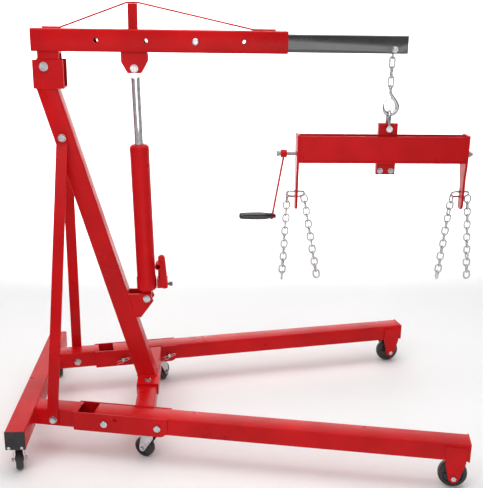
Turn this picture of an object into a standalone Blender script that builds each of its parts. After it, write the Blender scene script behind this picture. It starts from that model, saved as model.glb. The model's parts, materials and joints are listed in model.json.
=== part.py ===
"""Folding engine hoist crane with a load leveller.

Metres, +Z up, +X from the rear beam towards the hook, -Y the right side.
Places are given from the rear face of the rear beam, on the floor, at the middle of the crane.
Every object is parented to an empty that moves them all to the part's own origin.
"""

import math

import bmesh
import bpy
from mathutils import Matrix, Vector

# ---- driving dimensions, metres ----
ORIGIN_X = -0.8565  # where the rear face of the rear beam stands in the part's own frame
GAP = 0.0003  # between two faces that touch

BEAM = 0.070  # side of the rear beam, the cross beam and the mast
WALL = 0.004  # wall of those tubes
BEAM_Z = 0.147  # height of the rear and cross beams' middles
REAR_HALF = 0.425  # half of the rear beam's length
CROSS_X = 0.464  # middle of the cross beam

LEG_ANGLE = math.radians(10.8)  # each leg's splay from straight ahead
LEG_START_Y = 0.2596  # outer face of a rail where it meets the rear beam
LEG_WIDTH = 0.075
LEG_BOTTOM = 0.115
LEG_TOP = 0.181
RAIL_END = 0.160  # along the leg line, from the rear beam's front face
SOCKET_START = 0.1446
SOCKET_END = 0.4876
SOCKET_WALL = 0.005
SOCKET_CLEAR = 0.0005
PIVOT_PIN = (0.2581, 0.1427)  # place along the leg line, height
LOCK_PIN = (0.4525, 0.1427)
STORE_HOLE = (0.300, 0.163)
LEG_REAR = 0.2206
LEG_FRONT = 1.5279
FRONT_AXLE = 1.484
FRONT_WHEEL_R = 0.050
CASTER_WHEEL_R = 0.038
CASTER_TRAIL = 0.026

MAST_FOOT_X = 0.4602
MAST_LEAN = math.radians(16.3)
SADDLE_TOP = 0.1903
BOOM_PIVOT = (0.130, 1.368)  # X, Z
BRACE_BOLT = (0.180, 1.122)
BRACE_FOOT = 0.0697  # along the leg line
RAM_BASE = (0.464, 0.512)
RAM_HEAD = (0.4384, 1.3642)

BOOM_SIDE = 0.076
BOOM_WALL = 0.0045
BOOM_REAR = 0.089
BOOM_FRONT = 0.971
BOOM_BOTTOM = 1.419
HOLE_PITCH = 0.170
PIN_X = 0.650  # the boom hole that the extension pin is in
EXTENSION_SIDE = 0.062
EXTENSION_REAR = 0.600
EXTENSION_FRONT = 1.393
EXTENSION_Z = BOOM_BOTTOM + BOOM_WALL + GAP + EXTENSION_SIDE / 2
CHAIN_BOLT = (1.347, 1.4385)
POST_X = 0.435
POST_TOP = 1.580

HOOK_TOP_Z = 1.314
SHACKLE_PIN_Z = 1.160
LEVELLER_X = (1.0155, 1.6455)
LEVELLER_TOP = 1.133
LEVELLER_BOTTOM = 1.036
END_PLATE = 0.009
END_PLATE_LOW = 0.858
SCREW_Z = 1.065
RING_Z = 0.9115  # middle of each ring
RING_Y = 0.0124
CRANK_X = 0.970
GRIP_Z = 0.829
RING_HALF = 0.0175
RING_DROP = 0.028  # from a ring's middle down to its chains
LEVELLER_CHAIN = 0.306  # length of each leveller chain

PAINT = (0.62, 0.012, 0.02, 1.0)
COLOURS = {  # slot: (base colour, roughness, metallic)
    "red_paint": (PAINT, 0.3, 0.0),
    "black_paint": ((0.03, 0.03, 0.035, 1.0), 0.3, 0.0),
    "chrome": ((0.8, 0.8, 0.82, 1.0), 0.08, 1.0),
    "zinc": ((0.7, 0.7, 0.72, 1.0), 0.3, 1.0),
    "wheel_black": ((0.02, 0.02, 0.022, 1.0), 0.5, 0.0),
    "grip_black": ((0.015, 0.015, 0.015, 1.0), 0.25, 0.0),
}
SIDES = {"left": 1, "right": -1}  # +Y is the left


# ---- scene, materials and placing ----
def clear_scene():
    for thing in list(bpy.data.objects):
        bpy.data.objects.remove(thing)


def make_collection(name):
    made = bpy.data.collections.new(name)
    bpy.context.scene.collection.children.link(made)
    return made


clear_scene()
PARTS = make_collection("engine_hoist")
CUTTERS = make_collection("cutters")
FRAME = bpy.data.objects.new("hoist_origin", None)
PARTS.objects.link(FRAME)
FRAME.location = (ORIGIN_X, 0, 0)


def material(slot):
    found = bpy.data.materials.get(slot)
    if found:
        return found
    colour, roughness, metallic = COLOURS[slot]
    made = bpy.data.materials.new(slot)
    made.use_nodes = True
    shader = made.node_tree.nodes["Principled BSDF"]
    shader.inputs["Base Color"].default_value = colour
    shader.inputs["Roughness"].default_value = roughness
    shader.inputs["Metallic"].default_value = metallic
    return made


def pivot(name, place):
    """An empty on a joint's axis, for the pieces that turn there."""
    made = bpy.data.objects.new(name, None)
    PARTS.objects.link(made)
    made.parent = FRAME
    made.location = place
    return made


def put(name, mesh, slot, matrix, anchor=None):
    """A part of the crane, or a helper shape if it has no slot."""
    made = bpy.data.objects.new(name, mesh)
    if slot:
        PARTS.objects.link(made)
        mesh.materials.append(material(slot))
    else:
        CUTTERS.objects.link(made)
        made.hide_render = True
        made.display_type = "WIRE"
    made.parent = anchor or FRAME
    offset = anchor.location if anchor else Vector()
    made.matrix_basis = Matrix.Translation(-offset) @ matrix
    return made


def axes(origin, x_way, y_way):
    """A matrix with its origin and its X and Y directions; Z follows."""
    x = Vector(x_way).normalized()
    z = x.cross(Vector(y_way)).normalized()
    y = z.cross(x)
    made = Matrix((x, y, z)).transposed().to_4x4()
    made.translation = Vector(origin)
    return made


def leg_point(side, along, out, height):
    """A place on a leg line: along it, outwards from its outer face, and up."""
    x = BEAM + along * math.cos(LEG_ANGLE) - out * math.sin(LEG_ANGLE)
    y = LEG_START_Y + along * math.sin(LEG_ANGLE) + out * math.cos(LEG_ANGLE)
    return Vector((x, side * y, height))


def leg_way(side):
    return Vector((math.cos(LEG_ANGLE), side * math.sin(LEG_ANGLE), 0))


def out_way(side):
    return Vector((-math.sin(LEG_ANGLE), side * math.cos(LEG_ANGLE), 0))


# ---- shapes ----
def tidy(mesh):
    work = bmesh.new()
    work.from_mesh(mesh)
    bmesh.ops.remove_doubles(work, verts=work.verts, dist=0.00001)
    bmesh.ops.recalc_face_normals(work, faces=work.faces)
    work.to_mesh(mesh)
    work.free()
    return mesh


def mesh_of(curve):
    """A curve's surface as a welded mesh."""
    holder = bpy.data.objects.new("holder", curve)
    bpy.context.scene.collection.objects.link(holder)
    graph = bpy.context.evaluated_depsgraph_get()
    mesh = bpy.data.meshes.new_from_object(holder.evaluated_get(graph), depsgraph=graph)
    bpy.data.objects.remove(holder)
    return tidy(mesh)


def slab_mesh(name, outlines, depth):
    """Flat outlines, the first solid and the rest holes, made thick along Z about the middle."""
    curve = bpy.data.curves.new(name, "CURVE")
    curve.dimensions = "2D"
    curve.fill_mode = "BOTH"
    curve.extrude = depth / 2
    for outline in outlines:
        spline = curve.splines.new("POLY")
        spline.points.add(len(outline) - 1)
        for point, (x, y) in zip(spline.points, outline):
            point.co = (x, y, 0, 1)
        spline.use_cyclic_u = True
    return mesh_of(curve)


def slab(name, outlines, depth, slot, matrix, anchor=None):
    return put(name, slab_mesh(name, outlines, depth), slot, matrix, anchor)


def wire_mesh(name, points, radius, closed=False, facets=2):
    curve = bpy.data.curves.new(name, "CURVE")
    curve.dimensions = "3D"
    curve.bevel_depth = radius
    curve.bevel_resolution = facets
    curve.use_fill_caps = True
    spline = curve.splines.new("POLY")
    spline.points.add(len(points) - 1)
    for point, place in zip(spline.points, points):
        point.co = (*place, 1)
    spline.use_cyclic_u = closed
    return mesh_of(curve)


def turned(name, profile, slot, matrix, anchor=None, steps=20):
    """A solid of revolution about Z: the profile's (radius, height) points run from top to bottom."""
    mesh = bpy.data.meshes.new(name)
    mesh.from_pydata([(r, 0, z) for r, z in profile], [(i, i + 1) for i in range(len(profile) - 1)], [])
    made = put(name, mesh, slot, matrix, anchor)
    screw = made.modifiers.new("turn", "SCREW")
    screw.steps = steps
    screw.render_steps = steps
    screw.use_merge_vertices = True
    screw.merge_threshold = 0.00001
    return made


def circle(x, y, radius, count=16):
    turns = [2 * math.pi * i / count for i in range(count)]
    return [(x + radius * math.cos(t), y + radius * math.sin(t)) for t in turns]


def rounded(width, height, radius, count=3):
    """A rectangle about the origin with rounded corners."""
    points = []
    for corner in range(4):
        quarter = corner * math.pi / 2
        cx = (width / 2 - radius) * (1 if corner in (0, 3) else -1)
        cy = (height / 2 - radius) * (1 if corner in (0, 1) else -1)
        for i in range(count + 1):
            t = quarter + i * math.pi / 2 / count
            points.append((cx + radius * math.cos(t), cy + radius * math.sin(t)))
    return points


def strap(x0, y0, r0, x1, y1, r1, count=6):
    """The outline of a link: two round ends joined by straight sides."""
    way = math.atan2(y1 - y0, x1 - x0)
    ends = []
    for x, y, r, start in ((x1, y1, r1, way - math.pi / 2), (x0, y0, r0, way + math.pi / 2)):
        for i in range(count + 1):
            t = start + i * math.pi / count
            ends.append((x + r * math.cos(t), y + r * math.sin(t)))
    return ends


def box_mesh(name, size):
    work = bmesh.new()
    bmesh.ops.create_cube(work, size=1, matrix=Matrix.Diagonal((*size, 1)))
    mesh = bpy.data.meshes.new(name)
    work.to_mesh(mesh)
    work.free()
    return mesh


def rod_mesh(name, radius, length, count=16):
    work = bmesh.new()
    bmesh.ops.create_cone(
        work, cap_ends=True, segments=count, radius1=radius, radius2=radius, depth=length
    )
    mesh = bpy.data.meshes.new(name)
    work.to_mesh(mesh)
    work.free()
    return mesh


def tube(name, start, end, up, width, height, wall, slot, anchor=None, corner=0.005):
    """A rectangular tube from start to end: width across, height along up."""
    start, end = Vector(start), Vector(end)
    run = end - start
    side = Vector(up).cross(run)
    outer = rounded(width, height, corner)
    inner = rounded(width - 2 * wall, height - 2 * wall, corner - 0.003, 2)
    where = axes((start + end) / 2, side, up)
    return slab(name, [outer, inner], run.length, slot, where, anchor)


def boolean(target, helper, operation):
    step = target.modifiers.new(operation.lower(), "BOOLEAN")
    step.operation = operation
    step.solver = "EXACT"
    step.object = helper


def cut(target, mesh, matrix):
    boolean(target, put("cutter_" + target.name, mesh, None, matrix), "DIFFERENCE")


def join(target, mesh, matrix):
    boolean(target, put("joined_" + target.name, mesh, None, matrix), "UNION")


def along(place, way):
    """A matrix with its Z along a direction."""
    way = Vector(way).normalized()
    made = way.to_track_quat("Z", "Y").to_matrix().to_4x4()
    made.translation = Vector(place)
    return made


def drill(target, place, way, radius, depth, count=16):
    cut(target, rod_mesh("drill", radius, depth, count), along(place, way))


def bolt(name, place, way, radius, length, head_r, head_h, slot="zinc", anchor=None, nut=True):
    """A bolt whose head's underside is at place, with its shank along way and a nut at the end."""
    profile = [(0, length), (radius, length)]
    if nut:
        profile = [(0, length + 0.004), (radius, length + 0.004)]
        profile += [(radius, length), (head_r, length), (head_r, length - head_h), (radius, length - head_h)]
    profile += [(radius, 0), (head_r, 0), (head_r, -head_h * 0.7), (head_r * 0.8, -head_h), (0, -head_h)]
    return turned(name, profile, slot, along(place, way), anchor, 16)


# ---- base frame ----
def make_rear_beam():
    ends = [(BEAM / 2, y, BEAM_Z) for y in (-REAR_HALF, REAR_HALF)]
    tube("rear_beam", *ends, (0, 0, 1), BEAM, BEAM, WALL, "red_paint")


def make_rail(name, side):
    middle = (LEG_BOTTOM + LEG_TOP) / 2
    ends = [leg_point(side, s, -LEG_WIDTH / 2, middle) for s in (-0.03, RAIL_END)]
    rail = tube(f"{name}_rail", *ends, (0, 0, 1), LEG_WIDTH, LEG_TOP - LEG_BOTTOM, WALL, "red_paint")
    cut(rail, box_mesh("cut", (0.2, 0.4, 0.2)), Matrix.Translation((BEAM + GAP - 0.1, side * 0.22, BEAM_Z)))
    drill(rail, leg_point(side, BRACE_FOOT, -LEG_WIDTH / 2, PIVOT_PIN[1]), out_way(side), 0.0083, 0.12)
    foot = leg_point(side, BRACE_FOOT, 0.0062, PIVOT_PIN[1])
    bolt(f"{name}_brace_bolt", foot, -out_way(side), 0.0079, LEG_WIDTH + 0.018, 0.0125, 0.009)


def socket_outline():
    """A socket's side plate: its lower front corner is rounded."""
    low, corner = LEG_BOTTOM - SOCKET_WALL - GAP, 0.026
    points = [(SOCKET_START, low)]
    for i in range(6):
        t = -math.pi / 2 + i * math.pi / 10
        x = SOCKET_END - corner + corner * math.cos(t)
        points.append((x, low + corner + corner * math.sin(t)))
    return points + [(SOCKET_END, LEG_TOP), (SOCKET_START, LEG_TOP)]


def make_socket(name, side):
    """Two side plates joined by a floor, which is open under the leg's pivot so that its heel can swing."""
    holes = [circle(*PIVOT_PIN, 0.0083), circle(*LOCK_PIN, 0.0083), circle(*STORE_HOLE, 0.0083)]
    reach = SOCKET_CLEAR + SOCKET_WALL / 2
    frame = axes(leg_point(side, 0, 0, 0), leg_way(side), (0, 0, 1))

    def plate_matrix(out):
        made = frame.copy()
        made.translation = leg_point(side, 0, out, 0)
        return made

    plates = [socket_outline(), *holes]
    socket = slab(f"{name}_socket", plates, SOCKET_WALL, "red_paint", plate_matrix(reach))
    inner = slab_mesh("inner", plates, SOCKET_WALL)
    join(socket, inner, plate_matrix(-LEG_WIDTH - reach))
    width = LEG_WIDTH + 2 * SOCKET_CLEAR + SOCKET_WALL
    floor_z = LEG_BOTTOM - GAP - SOCKET_WALL / 2
    for start, end in ((SOCKET_START, 0.212), (0.306, SOCKET_END - 0.024)):
        middle = leg_point(side, (start + end) / 2, -LEG_WIDTH / 2, floor_z)
        lie = axes(middle, leg_way(side), (0, 0, 1)) @ Matrix.Rotation(math.pi / 2, 4, "X")
        join(socket, box_mesh("floor", (end - start, width, SOCKET_WALL)), lie)
    return socket


def make_cross_beam():
    ends = [(CROSS_X, y, BEAM_Z) for y in (-0.30, 0.30)]
    beam = tube("cross_beam", *ends, (0, 0, 1), BEAM, BEAM, WALL, "red_paint")
    for side in SIDES.values():
        inner = -LEG_WIDTH - SOCKET_CLEAR - SOCKET_WALL - GAP
        middle = leg_point(side, 0.40, inner + 0.15, BEAM_Z)
        cut(beam, box_mesh("cut", (0.4, 0.3, 0.2)), axes(middle, leg_way(side), (0, 0, 1)) @
            Matrix.Rotation(math.pi / 2, 4, "X"))


def make_mast():
    """The leaning tube, with its saddle, its head bracket and the ram's two ears welded on."""
    up = Vector((-math.sin(MAST_LEAN), 0, math.cos(MAST_LEAN)))
    foot = Vector((MAST_FOOT_X, 0, BEAM_Z + BEAM / 2))
    mast = tube("mast", foot - up * 0.04, foot + up * 1.22, (0, 1, 0), BEAM, BEAM, WALL, "red_paint")
    cut(mast, box_mesh("cut", (0.6, 0.3, 0.2)), Matrix.Translation((CROSS_X, 0, SADDLE_TOP - 0.002 - 0.1)))
    cut(mast, box_mesh("cut", (0.6, 0.3, 0.2)), Matrix.Translation((0.2, 0, 1.296 + 0.1)))
    half, inside = BEAM / 2 + 0.0065, BEAM / 2 + 2 * GAP
    top, under, skirt = SADDLE_TOP, BEAM_Z + BEAM / 2 + GAP, 0.146
    saddle = [(-half, skirt), (-inside, skirt), (-inside, under), (inside, under)]
    saddle += [(inside, skirt), (half, skirt), (half, top), (-half, top)]
    join(mast, slab_mesh("saddle", [saddle], 0.200), axes((CROSS_X, 0, 0), (1, 0, 0), (0, 0, 1)))
    low, high, wide, thick = 1.293, 1.391, 0.038, 0.006
    head = [(-wide, high), (-wide, low), (wide, low), (wide, high)]
    head += [(wide - thick, high), (wide - thick, low + thick)]
    head += [(thick - wide, low + thick), (thick - wide, high)]
    join(mast, slab_mesh("head", [head], 0.105), axes((0.1435, 0, 0), (0, 1, 0), (0, 0, 1)))
    drill(mast, (BOOM_PIVOT[0], 0, BOOM_PIVOT[1]), (0, 1, 0), 0.0103, 0.2)
    drill(mast, (BRACE_BOLT[0], 0, BRACE_BOLT[1]), (0, 1, 0), 0.0083, 0.2)
    ear = [(0.385, 0.531), (0.413, 0.437), (0.441, 0.437), (0.489, 0.503), (0.478, 0.531)]
    hole = circle(*RAM_BASE, 0.0083)
    for y in (-0.0297, 0.0297):
        join(mast, slab_mesh("ear", [ear, hole], 0.006), axes((0, y, 0), (1, 0, 0), (0, 0, 1)))
    bolt("brace_top_bolt", (BRACE_BOLT[0], -0.0415, BRACE_BOLT[1]), (0, 1, 0), 0.0079, 0.093, 0.0125, 0.009)
    bolt("ram_base_bolt", (RAM_BASE[0], -0.033, RAM_BASE[1]), (0, 1, 0), 0.0079, 0.078, 0.0125, 0.010)
    bolt("boom_pivot_bolt", (BOOM_PIVOT[0], -0.0383, BOOM_PIVOT[1]), (0, 1, 0), 0.0099, 0.092, 0.016, 0.011)


def make_brace(name, side):
    """A flat bar from the mast's side to the rail's outer side, bent flush at both ends."""
    wide, thick = 0.040, 0.005
    top = Vector((BRACE_BOLT[0], side * (BEAM / 2 + GAP), BRACE_BOLT[1]))
    foot = leg_point(side, BRACE_FOOT, GAP, PIVOT_PIN[1])
    run = (foot - top).normalized()
    stations = [(top - run * 0.020, 0.6), (top + run * 0.020, 1), (top + run * 0.035, 1)]
    stations[1] = (Vector((stations[1][0].x, top.y, stations[1][0].z)), 1)
    stations[0] = (Vector((stations[0][0].x, top.y, stations[0][0].z)), 0.6)
    upper = foot + Vector((0, 0, 0.045))
    stations += [(upper + out_way(side) * 0.001, 1), (foot - Vector((0, 0, 0.020)), 1)]
    across = Vector((1, 0, 0.05)).normalized()
    points, faces = [], []
    for place, share in stations:
        lean = across if place.z > 0.5 else leg_way(side)
        points += [place - lean * wide * share / 2, place + lean * wide * share / 2]
    for i in range(len(stations) - 1):
        faces.append((2 * i, 2 * i + 1, 2 * i + 3, 2 * i + 2))
    mesh = bpy.data.meshes.new(f"{name}_brace")
    mesh.from_pydata(points, [], faces)
    brace = put(f"{name}_brace", mesh, "red_paint", Matrix())
    shell = brace.modifiers.new("thickness", "SOLIDIFY")
    shell.thickness = thick
    shell.offset = -1.0 if side < 0 else 1.0
    drill(brace, top, (0, 1, 0), 0.0083, 0.06)
    drill(brace, foot, out_way(side), 0.0083, 0.06)


# ---- legs and wheels ----
def make_leg(name, side):
    middle = (LEG_BOTTOM + LEG_TOP) / 2
    height = LEG_TOP - LEG_BOTTOM
    hinge = pivot(f"{name}_leg_hinge", leg_point(side, PIVOT_PIN[0], -LEG_WIDTH / 2, PIVOT_PIN[1]))
    ends = [leg_point(side, s, -LEG_WIDTH / 2, middle) for s in (LEG_REAR, LEG_FRONT)]
    leg = tube(f"{name}_leg", *ends, (0, 0, 1), LEG_WIDTH, height, WALL, "red_paint", hinge)
    drill(leg, leg_point(side, PIVOT_PIN[0], -LEG_WIDTH / 2, PIVOT_PIN[1]), out_way(side), 0.0083, 0.12)
    lock = leg_point(side, LOCK_PIN[0], -LEG_WIDTH / 2, LOCK_PIN[1])
    drill(leg, lock, out_way(side), 0.0086, 0.12)
    notch = leg_point(side, LOCK_PIN[0] - 0.001, -LEG_WIDTH / 2, LOCK_PIN[1] - 0.03)
    cut(leg, box_mesh("notch", (0.0192, 0.12, 0.06)), axes(notch, leg_way(side), (0, 0, 1)) @
        Matrix.Rotation(-math.pi / 2, 4, "X"))
    axle_z = FRONT_WHEEL_R
    plate = [(FRONT_AXLE - 0.036, LEG_TOP - 0.012), (FRONT_AXLE - 0.034, LEG_BOTTOM)]
    for i in range(7):
        t = math.pi + 0.2 + i * (math.pi - 0.4) / 6
        plate.append((FRONT_AXLE + 0.018 * math.cos(t), axle_z + 0.018 * math.sin(t)))
    plate += [(FRONT_AXLE + 0.036, LEG_BOTTOM - 0.004), (FRONT_AXLE + 0.036, LEG_TOP - 0.012)]
    for out in (0.0015, -LEG_WIDTH - 0.0015):
        where = axes(leg_point(side, 0, out, 0), leg_way(side), (0, 0, 1))
        join(leg, slab_mesh("fork", [plate, circle(FRONT_AXLE, axle_z, 0.0063)], 0.005), where)
    cap = leg_point(side, LEG_FRONT + 0.002, -LEG_WIDTH / 2, middle)
    outline = [rounded(height + 0.002, LEG_WIDTH + 0.002, 0.003), circle(0, 0, 0.004, 8)]
    join(leg, slab_mesh("cap", outline, 0.0046), axes(cap, (0, 0, 1), out_way(side)))
    return hinge


def with_axle(profile, radius, reach):
    """A wheel's profile with the ends of its axle."""
    high = profile[0][1]
    top = [(0, reach), (radius, reach), (radius, high)]
    return [*top, *profile, (radius, -high), (radius, -reach), (0, -reach)]


def wheel_profile(radius, half):
    """Rounded tread edges, a rim step and a hub."""
    edge = 0.006
    return [
        (radius * 0.34, half + 0.002),
        (radius * 0.34, half - 0.004),
        (radius * 0.72, half - 0.004),
        (radius * 0.76, half - 0.001),
        (radius - edge, half - 0.001),
        (radius, half - edge),
        (radius, edge - half),
        (radius - edge, 0.001 - half),
        (radius * 0.76, 0.001 - half),
        (radius * 0.72, 0.004 - half),
        (radius * 0.34, 0.004 - half),
        (radius * 0.34, -half - 0.002),
    ]


def make_front_wheel(name, side):
    middle = leg_point(side, FRONT_AXLE, -LEG_WIDTH / 2, FRONT_WHEEL_R)
    axle = pivot(f"{name}_front_axle", middle)
    profile = with_axle(wheel_profile(FRONT_WHEEL_R, 0.016), 0.006, LEG_WIDTH / 2 + 0.0060)
    turned(f"{name}_front_wheel", profile, "wheel_black", along(middle, out_way(side)), axle, 28)


def make_pin(name, side, place):
    """A clevis pin through a socket: head outside, a cross hole for its clip inside."""
    head = leg_point(side, place[0], SOCKET_CLEAR + SOCKET_WALL + GAP, place[1])
    reach = LEG_WIDTH + 2 * (SOCKET_CLEAR + SOCKET_WALL + GAP)
    profile = [(0, reach + 0.018), (0.006, reach + 0.018), (0.0079, reach + 0.016)]
    profile += [(0.0079, 0), (0.013, 0), (0.013, -0.004), (0.010, -0.006), (0, -0.006)]
    return turned(name, profile, "zinc", along(head, -out_way(side)), None, 16)


def caster_fork(name, place, heading, height):
    """A swivel yoke: a head plate on ball bearings and two cheeks down to the axle."""
    swivel = pivot(f"{name}_swivel", place)
    way = Vector((math.cos(heading), math.sin(heading), 0))
    across = Vector((-way.y, way.x, 0))
    top = height - 0.0043
    inner = 0.0185
    cheek = [(-0.020, top), (-0.022, top - 0.016)]
    for i in range(5):
        t = math.pi + 0.5 + i * (math.pi - 0.6) / 4
        cheek.append((CASTER_TRAIL + 0.012 * math.cos(t), CASTER_WHEEL_R + 0.012 * math.sin(t)))
    cheek += [(0.030, top - 0.020), (0.022, top)]
    hole = circle(CASTER_TRAIL, CASTER_WHEEL_R, 0.0052, 12)
    base = axes(Vector((place[0], place[1], 0)), way, (0, 0, 1))
    first = base.copy()
    first.translation += across * (inner + 0.00125)
    fork = slab(f"{name}_fork", [cheek, hole], 0.0025, "zinc", first, swivel)
    second = base.copy()
    second.translation -= across * (inner + 0.00125)
    join(fork, slab_mesh("cheek", [cheek, hole], 0.0025), second)
    crown = Matrix.Translation((place[0], place[1], top - 0.0015)) @ Matrix.Rotation(heading, 4, "Z")
    join(fork, box_mesh("crown", (0.044, 2 * inner + 0.004, 0.003)), crown)
    join(fork, rod_mesh("race", 0.019, 0.005, 20), Matrix.Translation((place[0], place[1], top)))
    return swivel, way, across


def make_caster(name, place, heading, height):
    swivel, way, across = caster_fork(name, place, heading, height)
    middle = Vector((place[0], place[1], CASTER_WHEEL_R)) + way * CASTER_TRAIL
    axle = pivot(f"{name}_axle", middle)
    profile = with_axle(wheel_profile(CASTER_WHEEL_R, 0.0135), 0.0047, 0.0225)
    turned(f"{name}_wheel", profile, "wheel_black", along(middle, across), axle, 24)


# ---- boom ----
def make_boom(hinge):
    middle = BOOM_BOTTOM + BOOM_SIDE / 2
    ends = [(x, 0, middle) for x in (BOOM_REAR, BOOM_FRONT)]
    boom = tube("boom", *ends, (0, 0, 1), BOOM_SIDE, BOOM_SIDE, BOOM_WALL, "red_paint", hinge)
    for i in range(-2, 2):
        drill(boom, (PIN_X + i * HOLE_PITCH, 0, middle), (0, 1, 0), 0.0075, 0.2, 12)
    low = BOOM_BOTTOM + BOOM_SIDE - 0.002
    post = Matrix.Translation((POST_X, 0, (low + POST_TOP) / 2))
    join(boom, box_mesh("king_post", (0.033, 0.012, POST_TOP - low)), post)


def make_boom_brackets(hinge):
    """The hinge lugs and the ram's clevis, each a channel under the boom."""
    top = BOOM_BOTTOM - GAP
    shape = [(-0.0305, top), (0.0305, top), (0.0305, top - 0.080), (0.0245, top - 0.080)]
    shape += [(0.0245, top - 0.006), (-0.0245, top - 0.006), (-0.0245, top - 0.080), (-0.0305, top - 0.080)]
    lugs = slab("hinge_lugs", [shape], 0.074, "red_paint", axes((0.145, 0, 0), (0, 1, 0), (0, 0, 1)), hinge)
    drill(lugs, (BOOM_PIVOT[0], 0, BOOM_PIVOT[1]), (0, 1, 0), 0.0103, 0.2)
    low = RAM_HEAD[1] - 0.016
    shape = [(x, low if z < top - 0.05 else z) for x, z in shape]
    across = axes((RAM_HEAD[0], 0, 0), (0, 1, 0), (0, 0, 1))
    clevis = slab("ram_clevis", [shape], 0.091, "red_paint", across, hinge)
    for way in (-1, 1):
        wedge = [(way * 0.0465, top - 0.030), (way * 0.0235, low - 0.001), (way * 0.06, low - 0.001),
                 (way * 0.06, top - 0.030)]
        cut(clevis, slab_mesh("taper", [wedge], 0.1), axes((RAM_HEAD[0], 0, 0), (1, 0, 0), (0, 0, 1)))
    drill(clevis, (RAM_HEAD[0], 0, RAM_HEAD[1]), (0, 1, 0), 0.0083, 0.2)
    for name, side in SIDES.items():
        face = (RAM_HEAD[0], side * (0.0305 + GAP), RAM_HEAD[1])
        bolt(f"{name}_ram_head_bolt", face, (0, -side, 0), 0.0079, 0.006, 0.0125, 0.010, "zinc", hinge, False)


def make_truss(hinge):
    """The bent rod over the king post that stiffens the boom's top."""
    top = BOOM_BOTTOM + BOOM_SIDE + GAP
    radius = 0.003
    low, high = top + radius, POST_TOP + radius + GAP
    points = [(0.124, 0, low), (0.186, 0, low), (POST_X - 0.018, 0, high), (POST_X + 0.018, 0, high)]
    points += [(0.852, 0, low), (0.930, 0, low)]
    put("truss_rod", wire_mesh("truss_rod", points, radius), "red_paint", Matrix(), hinge)


def make_extension():
    """The black tube inside the boom, slotted where the boom's pin passes it."""
    slide = pivot("extension_slide", Vector((EXTENSION_REAR, 0, EXTENSION_Z)))
    ends = [(x, 0, EXTENSION_Z) for x in (EXTENSION_REAR, EXTENSION_FRONT)]
    bar = tube("extension", *ends, (0, 0, 1), EXTENSION_SIDE, EXTENSION_SIDE, WALL, "black_paint", slide)
    pin_z = BOOM_BOTTOM + BOOM_SIDE / 2
    slot_end = PIN_X + HOLE_PITCH + 0.012
    slot_x = (EXTENSION_REAR - 0.02 + slot_end) / 2
    length = slot_end - EXTENSION_REAR + 0.02
    cut(bar, box_mesh("slot", (length, 0.1, 0.0165)), Matrix.Translation((slot_x, 0, pin_z)))
    drill(bar, (CHAIN_BOLT[0], 0, CHAIN_BOLT[1]), (0, 1, 0), 0.0064, 0.2, 12)
    mouth = Matrix.Translation((CHAIN_BOLT[0], 0, EXTENSION_Z - EXTENSION_SIDE / 2))
    cut(bar, box_mesh("mouth", (0.056, 0.032, 0.02)), mouth)
    head = (CHAIN_BOLT[0], -EXTENSION_SIDE / 2 - GAP, CHAIN_BOLT[1])
    bolt("chain_bolt", head, (0, 1, 0), 0.006, EXTENSION_SIDE + 0.013, 0.0105, 0.008, "zinc", slide)
    head = (PIN_X, -BOOM_SIDE / 2 - GAP, pin_z)
    profile = [(0, 0.094), (0.005, 0.094), (0.0068, 0.091), (0.0068, 0)]
    profile += [(0.012, 0), (0.012, -0.005), (0.009, -0.008), (0, -0.008)]
    drawn = pivot("extension_pin_slide", Vector(head))
    turned("extension_pin", profile, "zinc", along(head, (0, 1, 0)), drawn, 16)


# ---- hydraulic ram ----
def ram_frame():
    """Z runs up the ram from its base bolt; X faces forwards."""
    up = Vector((RAM_HEAD[0] - RAM_BASE[0], 0, RAM_HEAD[1] - RAM_BASE[1])).normalized()
    return axes((RAM_BASE[0], 0, RAM_BASE[1]), Vector((up.z, 0, -up.x)), (0, 1, 0))


def ram_length():
    return math.dist(RAM_BASE, RAM_HEAD)


FLAT = Matrix.Rotation(math.pi / 2, 4, "X")  # an outline's Y becomes Z


def make_ram_cylinder(hinge):
    """The cylinder: a solid foot with a bore that the rod slides in."""
    bore, floor, top = 0.0170, 0.062, 0.583
    profile = [(0, floor), (bore, floor), (bore, top), (0.0265, top), (0.0345, top - 0.008)]
    profile += [(0.0360, top - 0.018), (0.0352, top - 0.030), (0.0352, 0.082), (0.0375, 0.078)]
    profile += [(0.0375, 0.034), (0.031, 0.028), (0, 0.028)]
    cylinder = turned("ram_cylinder", profile, "red_paint", ram_frame(), hinge, 28)
    eye = strap(0, 0, 0.018, 0, 0.034, 0.018)
    lug = slab_mesh("eye", [eye, circle(0, 0, 0.0083)], 0.048)
    join(cylinder, lug, ram_frame() @ FLAT)


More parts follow.
